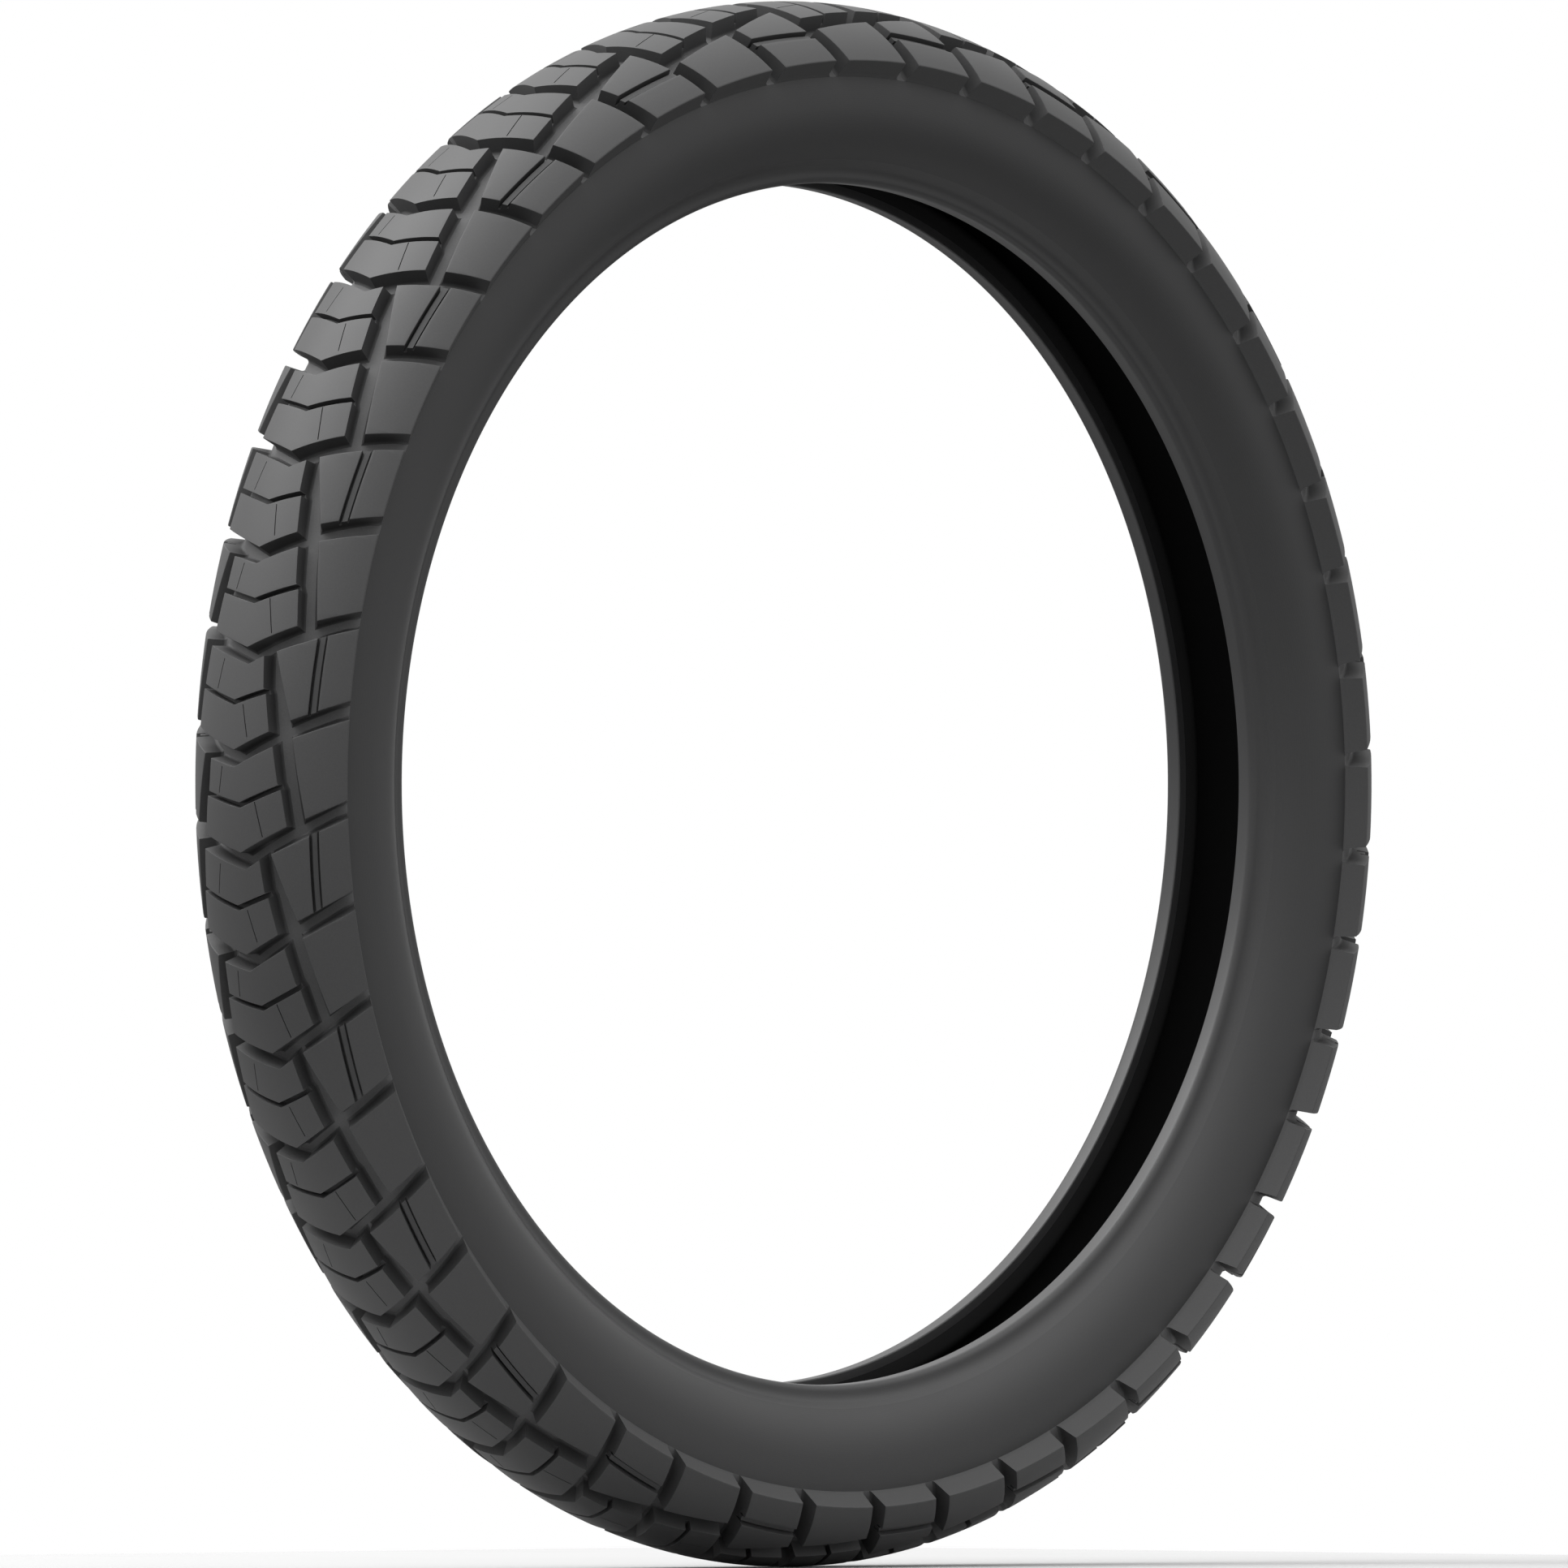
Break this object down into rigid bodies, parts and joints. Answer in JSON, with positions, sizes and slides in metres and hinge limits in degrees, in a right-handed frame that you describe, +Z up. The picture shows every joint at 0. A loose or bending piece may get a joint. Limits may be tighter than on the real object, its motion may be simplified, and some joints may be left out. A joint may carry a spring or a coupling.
{
  "type": "motorcycle tire",
  "caption": "Bare front tire for off-road and dual-sport motorcycles, with open chevron tread blocks, plain sidewalls, layered cord casing and wire beads.",
  "frame": {"origin": "centre of the tire, on its spin axis and its centre plane", "axes": "+Y along the spin axis towards the left side, +Z up, +X forwards"},
  "size_m": [0.6954, 0.0928, 0.6954],
  "materials": {
    "tread_rubber": "satin moulded black tread rubber",
    "sidewall_rubber": "smooth matte black sidewall rubber",
    "bead_rubber": "smooth satin black rubber, slightly glossier on the seat",
    "liner_rubber": "dull black calendered rubber",
    "gum_rubber": "matte black gum rubber",
    "filler_rubber": "hard matte black rubber",
    "ply_cord": "rubber coated cord fabric",
    "breaker_cord": "rubber coated cord fabric, coarser cords",
    "chafer_cloth": "square woven rubber coated cloth",
    "bead_steel": "bronze coated drawn steel wire"
  },
  "bodies": {
    "root": {"bead_filler_left": "filler_rubber", "bead_filler_right": "filler_rubber", "bead_wires_left": "bead_steel", "bead_wires_right": "bead_steel", "bead_wrap_left": "gum_rubber", "bead_wrap_right": "gum_rubber", "body_ply_inner": "ply_cord", "body_ply_outer": "ply_cord", "breaker_cushion_left": "gum_rubber", "breaker_cushion_right": "gum_rubber", "breaker_inner": "breaker_cord", "breaker_outer": "breaker_cord", "centre_blocks": "tread_rubber", "chafer_left": "chafer_cloth", "chafer_right": "chafer_cloth", "inner_liner": "liner_rubber", "rim_cushion_left": "bead_rubber", "rim_cushion_right": "bead_rubber", "shoulder_blocks_left": "tread_rubber", "shoulder_blocks_right": "tread_rubber", "sidewall_left": "sidewall_rubber", "sidewall_right": "sidewall_rubber", "tread_base": "tread_rubber"}
  },
  "joints": []
}
